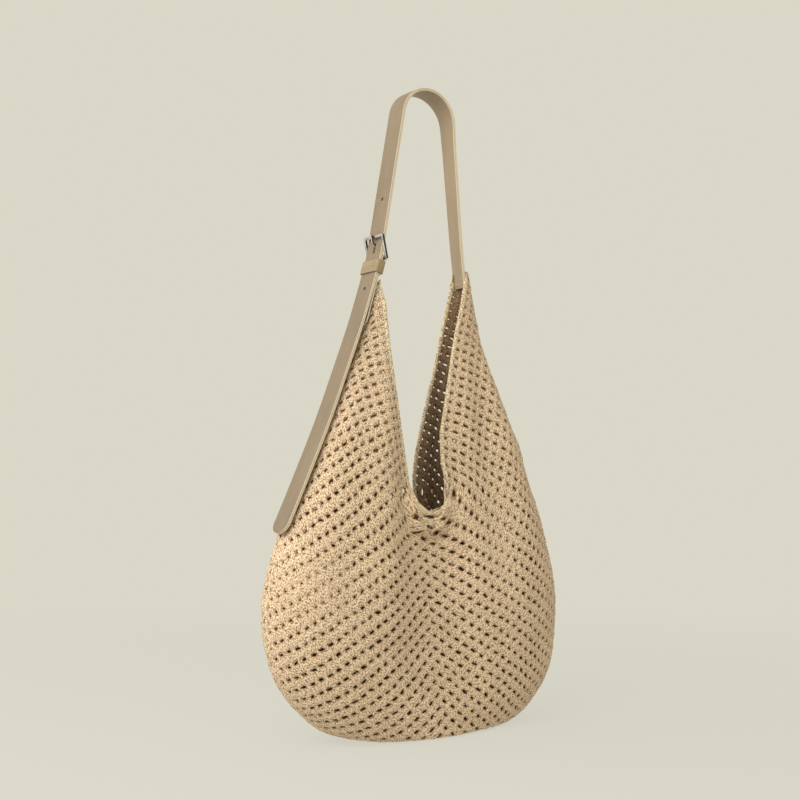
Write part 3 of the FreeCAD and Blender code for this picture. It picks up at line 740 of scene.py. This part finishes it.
def slit_outlines(rng, middle, opened):
    """The outline of each cell's slit in the pattern, as uneven as crochet is."""
    number = len(middle)
    left_half = middle[:, 1] > -middle[:, 0]
    tilt = rng.normal(0, 0.16, number) + np.where(left_half, 0, math.pi / 2)
    long_axis = np.column_stack([np.cos(tilt), np.sin(tilt)])
    short_axis = np.column_stack([-long_axis[:, 1], long_axis[:, 0]])
    size = np.clip(rng.normal(1.0, 0.16, number), 0.6, 1.35) * opened
    slim = np.clip(rng.normal(1.0, 0.20, number), 0.55, 1.5) * opened
    shift = rng.normal(0, 0.035 * PITCH, (number, 2))
    directions = RING - 1.5
    around = np.arctan2((directions @ short_axis.T).T, (directions @ long_axis.T).T)
    long_reach = np.cos(around) * HOLE_LONG * PITCH * size[:, None]
    short_reach = np.sin(around) * HOLE_SHORT * PITCH * slim[:, None]
    return ((middle + shift)[:, None, :] + long_axis[:, None, :] * long_reach[:, :, None]
            + short_axis[:, None, :] * short_reach[:, :, None])


def panel(name, skin, seed, material):
    """The crochet net of one panel: a mesh of rounded strands with a slit in every cell."""
    rng = np.random.default_rng(seed)
    cells, middle, s, t, share, place = panel_cells(skin)
    outline, corner, index = shared_points(cells)
    hole = slit_outlines(rng, middle, openness(skin, s, t, share, place))
    border = outline[index]
    between = (border + (hole - border) * 0.60).reshape(-1, 2)
    hole = hole.reshape(-1, 2)

    def lift(places, heights):
        s, t = outside_mouth(skin, *hang(skin, places[:, 0], places[:, 1]))
        spots, out = skin.surface(s, t)
        return spots + out * heights[:, None], spots - out * heights[:, None]

    border_height = np.where(corner, 1.9, 1.45) + rng.normal(0, 0.25, len(outline))
    between_height = 1.5 + rng.normal(0, 0.2, len(between))
    parts = [*lift(outline, border_height), *lift(between, between_height),
             lift(hole, np.zeros(len(hole)))[0]]
    counts = [len(part) for part in parts]
    starts = np.cumsum([0] + counts)
    points = np.vstack(parts)
    points[:, 2] = np.maximum(points[:, 2], 0.4)
    patterns = np.vstack([outline, outline, between, between, hole])
    flat = np.column_stack([patterns, np.zeros(len(patterns))])
    # How close to a slit each point is, which sets the painted shade round each slit; the inner face
    # is given about as much painted shade as the slits.
    near = np.repeat([0.0, 0.85, 0.4, 0.9, 1.0], counts)
    inner = np.arange(index.size).reshape(index.shape)
    following = np.roll(np.arange(len(RING)), -1)
    faces = []
    for a, b in ((index + starts[0], inner + starts[2]), (inner + starts[2], inner + starts[4]),
                 (inner + starts[3], index + starts[1]), (inner + starts[4], inner + starts[3])):
        faces.append(np.stack([a, a[:, following], b[:, following], b], axis=2).reshape(-1, 4))
    faces.append(closing_strip(index, starts[1]))
    faces = np.vstack(faces)
    if skin.side == "front":
        faces = faces[:, ::-1]
    return new_piece(name, points, faces, material, "net_yarn", NET_ANGLE, flat=flat, near=near)


def closing_strip(index, shift):
    """Quads that close the net between its two faces wherever a cell has no neighbour."""
    seen = {}
    for ring in index:
        for a, b in zip(ring, np.roll(ring, -1)):
            key = (min(a, b), max(a, b))
            seen[key] = None if key in seen else (a, b)
    return np.array([(a, a + shift, b + shift, b) for a, b in filter(None, seen.values())])


def mouth_line(skin, margin):
    """The edge of the mouth from the left peak round the notch to the right peak."""
    top_left, top_right = skin.length_up(LEFT_PEAK - 3), skin.length_up(RIGHT_PEAK - 3)
    left = [(-mouth_edge(skin, t, False) - margin, t) for t in np.arange(top_left, 0, -3.0)]
    arc = []
    for angle in np.linspace(math.pi, 2 * math.pi, 25):
        c, s = math.cos(angle), math.sin(angle)
        reach = skin.mouth[0, 2 if c > 0 else 1]
        out = 1 / notch_ring(c, s, reach * MOUTH_EASE) + margin
        arc.append((out * c, out * s))
    right = [(mouth_edge(skin, t, True) + margin, t) for t in np.arange(3.0, top_right, 3.0)]
    line = np.array(left + arc + right)
    place, out = skin.surface(line[:, 0], line[:, 1])
    below = place[:, 2] < top_height(place[:, 0]) - 1
    return place[below], out[below]


def rim(name, skin, material):
    """The plain edging crocheted round the mouth: one flat cord along its edge."""
    place, out = mouth_line(skin, 1.6)
    return tube(name, place, out, 2.7, 2.1, material, "rim_yarn")


def side_seam(name, front, back, right, material):
    """The cord that joins the two panels down one side, from its peak to the base."""
    column = COLUMNS - 1 if right else 0
    peak = RIGHT_PEAK if right else LEFT_PEAK
    line = (front.grid[:, column] + back.grid[:, column]) / 2
    line = line[(line[:, 2] > WALL_HALF + 0.55) & (line[:, 2] < peak - 2)]
    start = (base_end(right) * 1.01, 0, WALL_HALF + 0.6)
    line = resample(np.vstack([start, line]), 3.0)
    out = left_of(unit(np.gradient(line, axis=0))) * (-1 if right else 1)
    return tube(name, line, out, 2.6, 2.3, material, "net_yarn")


def base_end(right):
    """How far from the middle plane the flat base ends."""
    return SECTIONS[1, 1] + RIGHT_CHANGE[0, 1] if right else -SECTIONS[1, 1] - LEFT_CHANGE[0, 1]


def base_seam(name, material):
    """The cord that joins the two panels along the base."""
    line = resample([(base_end(False), 0, 2.3), (base_end(True), 0, 2.3)], 4.0)
    out = np.tile((0.0, 0.0, 1.0), (len(line), 1))
    return tube(name, line, out, 3.0, 1.9, material, "net_yarn")


# ---- the strap, chape and keeper ----

HANG = -BASE
LAYER = 1.7
STRAP_HALF = 13.5
STRAP_TOP = HANG + LAYER
# The strap's way, from the right peak over the arch and down to the tail's hinge.
RIGHT_END, RIGHT_BEND, RIGHT_CORNER, LEFT_CORNER, ENTRY, TAIL_HINGE = WAY = np.array([
    (57.5, 0, 493), (50.5, 0, 548), (34, 0, STRAP_TOP), (-30, 0, STRAP_TOP), (-64, 0, 517),
    (-72.6, 0, 486.2)])
WAY_RADII = [400.0, 36.0, 36.0, 40.0]
TAIL = [TAIL_HINGE, (-87.6, 0, 440), (-107.6, 0, 386), (-127.6, 0, 334), (-149.8, 0, 283),
        (-172.5, 0, 233), (-181, 0, 216)]
# Height, and how far the right strand is turned about itself there, in degrees.
RIGHT_TWIST = np.array([(500, -15), (560, -13.5), (600, -11.5), (650, -10), (690, -4), (708, 0)])
TIP_RADIUS = 12.0
# The punched holes: their radius, half the cutter's length, the upper one's height and how far
# the tail's is below its hinge.
HOLE_RADIUS, HOLE_REACH, HOLE_HEIGHT, TAIL_HOLE_DROP = 2.1, 6.0, 579.5, 9.3
SLOT_MIDDLE, SLOT_HALVES = (-64.0, 0.0, 523.5), (7.0, 1.8, 5.4)
DOWN = unit(TAIL_HINGE - ENTRY)
OUTWARD = -left_of(DOWN)


def along(distance, offset, depth=0.0):
    """A place by its distance down the strap from ENTRY and its offset outward from its middle."""
    return ENTRY + DOWN * distance + OUTWARD * offset + ACROSS * depth


def tip_widths(path, radius):
    """Half widths of a strap whose far end has rounded corners."""
    left = np.minimum(lengths_along(path)[-1] - lengths_along(path), radius)
    return STRAP_HALF - radius + np.sqrt(np.maximum(radius ** 2 - (radius - left) ** 2, 0))


def with_fine_end(path, reach):
    """The same path with closely spaced points near its far end."""
    distance = lengths_along(path)
    far = distance > distance[-1] - reach
    near = path[~far]
    end = resample(np.vstack([near[-1], path[far]]), FINE_STEP)
    return np.vstack([near, end[1:]])


def strap_cutters():
    """Solids for the punched holes in the strap and its tail and for the prong's slot."""
    up = unit(LEFT_CORNER - ENTRY)
    hole = ENTRY + up * (HOLE_HEIGHT - ENTRY[2]) / up[2]
    tail_way = unit(TAIL[1] - TAIL_HINGE)
    tail_hole = TAIL_HINGE + tail_way * TAIL_HOLE_DROP
    return [rod_cutter(hole, left_of(up)), rod_cutter(tail_hole, -left_of(tail_way)),
            box_cutter(np.array(SLOT_MIDDLE), (np.array([1, 0, 0]), ACROSS, UP), SLOT_HALVES)]


def strap_pieces(leather, lining):
    """The shoulder strap and its free tail, in two layers, with the punched holes."""
    upper = rounded_path(WAY, WAY_RADII)
    path = with_fine_end(np.vstack([upper, smooth_line(TAIL)[1:]]), TIP_RADIUS + 1)
    widths = tip_widths(path, TIP_RADIUS)
    twist = np.interp(path[:, 2], *RIGHT_TWIST.T) * (path[:, 0] > 0)
    outer = strip("strap_outer", path, widths, -LAYER, 0.0, leather, twist=twist)
    inner = strip("strap_inner", path, widths, 0.0, LAYER, lining, twist=twist,
                  slot="strap_lining")
    for piece in (outer, inner):
        cut_holes(piece, strap_cutters())
    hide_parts("strap_outer_layer", "tail_outer_layer")
    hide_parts("strap_lining", "tail_lining")
    for piece in (outer, inner):
        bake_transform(piece)


CHAPE_THICK = 1.6
CHAPE_MIDDLE = -(LAYER + 0.2 + CHAPE_THICK / 2)
WRAP_RADIUS = 1.6 + 0.15 + CHAPE_THICK / 2
HEEL_DISTANCE = 3.5
INNER_LEG = CHAPE_MIDDLE - CHAPE_THICK - 0.1
CHAPE_LENGTH = 84.0
KEEPER_INNER, KEEPER_OUTER = INNER_LEG - CHAPE_THICK / 2 - 0.5, LAYER + 0.3
KEEPER_THICK, KEEPER_HEIGHT, KEEPER_START, KEEPER_RADIUS = 1.5, 14.5, 8.3, 1.6
# How far the keeper's face swells over the tail.
KEEPER_BULGE = 0.25


def chape(material):
    """The tab that holds the buckle: folded round the heel bar, its long end sewn to the net."""
    top = HEEL_DISTANCE - WRAP_RADIUS
    far_side = CHAPE_MIDDLE - 2 * WRAP_RADIUS
    corners = [along(25.0, INNER_LEG), along(7.8, INNER_LEG), along(4.8, far_side),
               along(top, far_side), along(top, CHAPE_MIDDLE), along(CHAPE_LENGTH, CHAPE_MIDDLE)]
    bend = WRAP_RADIUS * 0.99
    path = with_fine_end(rounded_path(corners, [1.4, 1.4, bend, bend], 0.5), 10.0)
    widths = tip_widths(path, 9.0) - 0.3
    half = CHAPE_THICK / 2
    piece = strip("buckle_chape", path, widths, -half, half, material, 0.45)
    middle = along(2.2, CHAPE_MIDDLE - WRAP_RADIUS)
    cut_holes(piece, [box_cutter(middle, (DOWN, ACROSS, OUTWARD), (6.2, 2.6, 8.0))])
    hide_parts("chape")
    return piece


def keeper(material):
    """The loop that holds the tail against the chape."""
    half_thick, half_height = KEEPER_THICK / 2, KEEPER_HEIGHT / 2
    ring = strip_section(STRAP_HALF + 0.5 + half_thick, KEEPER_INNER - half_thick,
                         KEEPER_OUTER + half_thick, KEEPER_RADIUS, 6)
    dense = resample(np.vstack([ring, ring[:1]]), 0.8)[:-1]
    tangent = unit(np.roll(dense, -1, axis=0) - np.roll(dense, 1, axis=0))
    normal = np.column_stack([tangent[:, 1], -tangent[:, 0]])
    section = strip_section(half_height, -half_thick, half_thick, 0.5)
    points, flat, edge = [], [], []
    for (y, z), out, distance in zip(dense, normal, lengths_along(dense)):
        bulge = KEEPER_BULGE * math.exp(-(y / 9.0) ** 2) if z > 0 else 0
        for across, offset in section:
            depth, outward = (y, z) + out * (offset + bulge)
            points.append(along(KEEPER_START + half_height + across, outward, depth))
            flat.append((distance, across, offset))
            edge.append(1.0 if abs(across) > half_height - 0.45 else 0.0)
    faces = [face[::-1] for face in grid_faces(len(dense), len(section), looped=True)]
    piece = new_piece("tail_keeper", points, faces, material, "keeper_leather", LEATHER_ANGLE,
                      flat=flat, edge=edge)
    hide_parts("keeper_loop")
    return piece


def stitch_run(name, lines, sink, material):
    """Short capsules of thread, slightly bowed, lying in the leather along straight lines."""
    points, faces, flat = [], [], []
    steps, sides = 7, 8
    for start, end, count, out in lines:
        way = (end - start) / count
        half = way * 0.38
        side = np.cross(unit(way), out)
        for i in range(count):
            middle = start + way * (i + 0.5)
            faces += [tuple(len(points) + v for v in f) for f in capped_faces(steps, sides)]
            for u in np.linspace(-1, 1, steps):
                radius = 0.36 * math.sqrt(max(1 - abs(u) ** 5, 0.02))
                place = middle + half * u + out * (0.18 * (1 - u * u) - sink)
                points += ring_round(place, side * radius, out * radius, sides)
                length = np.linalg.norm(half) * u + i * 3
                flat += [(length, 2 * math.pi * j / sides, 0) for j in range(sides)]
    return new_piece(name, points, faces, material, "thread", CORD_ANGLE, flat=flat)


def thread_pieces(material):
    """The stitches on the keeper, round the lower end of the chape and across the strap end."""
    face = KEEPER_OUTER + KEEPER_THICK + KEEPER_BULGE
    lines = [(along(11.0, face, depth), along(19.8, face, depth), 3, OUTWARD)
             for depth in (-8.4, -5.2)]
    keeper_rows = stitch_run("keeper_thread", lines, -0.1, material)
    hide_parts("keeper_stitches")

    side, top, bottom = STRAP_HALF - 3.0, 52.0, CHAPE_LENGTH - 3.5
    corners = [(top, -side), (bottom, -side + 1.5), (bottom, side - 1.5), (top, side)]
    lines = []
    for (d0, y0), (d1, y1), count in zip(corners, corners[1:], (8, 6, 8)):
        for sign in (1, -1):
            level = CHAPE_MIDDLE + sign * CHAPE_THICK / 2
            lines.append((along(d0, level, y0), along(d1, level, y1), count, sign * OUTWARD))
    chape_rows = stitch_run("chape_thread", lines, 0.0, material)
    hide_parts("chape_stitches")

    up = unit(RIGHT_BEND - RIGHT_END)
    turn = math.radians(RIGHT_TWIST[0, 1])
    over, inward = turned(ACROSS, up, turn), turned(left_of(up), up, turn)
    lines = []
    for rise in (4.0, 10.0):
        for out in (inward, -inward):
            spot = RIGHT_END + up * rise + out * LAYER
            lines.append((spot - over * side, spot + over * side, 6, out))
    end_rows = stitch_run("strap_end_thread", lines, 0.0, material)
    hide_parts("strap_end_stitches")
    return keeper_rows, chape_rows, end_rows


# ---- the stage ----

PALE, FLOOR_COLOUR = (0.701, 0.680, 0.577), (0.712, 0.702, 0.622)
FLOOR_TINT, FLOOR_GLOW = 0.20, 0.755
FLOOR_REACH, FLOOR_LEVEL = 9000.0, -0.6
# Where the floor starts to fade into the background and where it has, in metres from its middle.
HAZE = (0.5, 1.6)
KEY_POWER, FILL_POWER = 16.5, 9.0
CAMERA_AZIMUTH, CAMERA_DISTANCE, EYE_HEIGHT = -38.0, 1313.0, 260.0
AIM_RIGHT, AIM_HEIGHT = -22.0, 361.0
CAMERA_ROLL = math.radians(0.55)
FOCAL_LENGTH = 53.2


def floor_and_world():
    """A pale floor that glows, and only glows far away, so that it meets the background evenly."""
    corners = np.array([(-1, -1, 0), (1, -1, 0), (1, 1, 0), (-1, 1, 0)]) * FLOOR_REACH
    floor = plain_object("floor", corners + (0, 0, FLOOR_LEVEL), [(0, 1, 2, 3)])
    m = Material("pale_floor", roughness=0.9, specular=0.0)
    place = m.node("TexCoord", {}).outputs["Object"]
    away = m.node("VectorMath", {0: place}, operation="LENGTH").outputs["Value"]
    far = m.spread(away, HAZE, (0, 1))
    tint = m.ramp(m.noise(place, 3.0, 2.0),
                  [(0.3, times(PALE, FLOOR_TINT)), (0.7, times(PALE, FLOOR_TINT * 1.01))])
    m.set("Base Color", m.mix(far, tint, BLACK))
    m.set("Emission Color", m.mix(far, FLOOR_COLOUR, PALE))
    m.set("Emission Strength", m.spread(far, (0, 1), (FLOOR_GLOW, 1.0)))
    floor.data.materials.append(m.made)
    world = bpy.data.worlds.new("studio")
    world.use_nodes = True
    world.node_tree.nodes["Background"].inputs["Color"].default_value = (*PALE, 1)
    world.node_tree.nodes["Background"].inputs["Strength"].default_value = 1.0
    bpy.context.scene.world = world


def aimed(name, data, place, aim, roll=0.0):
    """A light or camera that stands at one place and looks at another."""
    made = bpy.data.objects.new(name, data)
    start, end = Vector(to_world(place)), Vector(to_world(aim))
    level = (end - start).to_track_quat("-Z", "Y")
    made.location = start
    made.rotation_euler = (level @ Quaternion((0, 0, 1), roll)).to_euler()
    bpy.context.scene.collection.objects.link(made)
    return made


def soft_light(name, place, power, size):
    """A large soft light that points at the middle of the bag."""
    data = bpy.data.lights.new(name, "AREA")
    data.energy = power
    data.size = size
    data.color = (1.0, 0.985, 0.95)
    aimed(name, data, place, (0, 0, 300))


def studio():
    """The camera at the front left of the bag and two large soft lights."""
    azimuth = math.radians(CAMERA_AZIMUTH)
    right = np.array([math.cos(azimuth), math.sin(azimuth), 0])
    back = np.array([math.sin(azimuth), -math.cos(azimuth), 0])
    data = bpy.data.cameras.new("camera")
    data.lens = FOCAL_LENGTH
    data.clip_start, data.clip_end = 0.05, 60.0
    eye, aim = back * CAMERA_DISTANCE + (0, 0, EYE_HEIGHT), right * AIM_RIGHT + (0, 0, AIM_HEIGHT)
    bpy.context.scene.camera = aimed("camera", data, eye, aim, CAMERA_ROLL)
    soft_light("key", back * 1200 - right * 600 + (0, 0, 1200), KEY_POWER, 1.1)
    soft_light("fill", back * 500 - right * 1400 + (0, 0, 700), FILL_POWER, 1.4)
    bpy.context.scene.view_settings.view_transform = "Standard"


def main():
    floor_and_world()
    studio()
    yarn = yarn_material("net_yarn", (0.94, 0.68, 0.47), (0.29, 0.183, 0.101), 3.4, 1.9,
                         math.radians(38))
    edging = yarn_material("rim_yarn", (0.90, 0.71, 0.49), (0.36, 0.25, 0.145), 4.0, 1.8,
                           math.radians(50))
    leather = leather_material("strap_leather", (0.236, 0.179, 0.120), (0.60, 0.51, 0.37))
    lining = leather_material("strap_lining", (0.34, 0.255, 0.17), (0.62, 0.52, 0.37), 1.3)
    keeper_leather = leather_material("keeper_leather", (0.305, 0.226, 0.134), (0.26, 0.19, 0.115))
    metal = metal_material("buckle_metal", (0.66, 0.64, 0.60))
    thread = thread_material("thread", (0.62, 0.52, 0.36))

    front, back = Skin("front", 11.0, FRONT_MOUTH), Skin("back", 4.0, BACK_MOUTH)
    soft = [
        (panel("front_net", front, 11, yarn), "net_front"),
        (panel("back_net", back, 12, yarn), "net_back"),
        (rim("front_rim", front, edging), "rim_front"),
        (rim("back_rim", back, edging), "rim_back"),
        (side_seam("left_seam", front, back, False, yarn), "side_seam_left"),
        (side_seam("right_seam", front, back, True, yarn), "side_seam_right"),
    ]
    low_seam = base_seam("bottom_seam", yarn)
    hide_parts("base_seam")
    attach(low_seam, "bag")
    tab = chape(leather)
    keeper_rows, chape_rows, end_rows = thread_pieces(thread)
    for piece, node in soft:
        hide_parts(node)
    for piece in [piece for piece, _ in soft] + [tab, chape_rows]:
        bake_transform(piece)
    strap_pieces(leather, lining)
    loop = keeper(keeper_leather)
    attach(loop, "keeper")
    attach(keeper_rows, "keeper")
    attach(end_rows, "strap")
    for node in ("buckle_frame", "buckle_prong"):
        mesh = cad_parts[node].data
        mesh.materials.clear()
        mesh.materials.append(metal)


main()
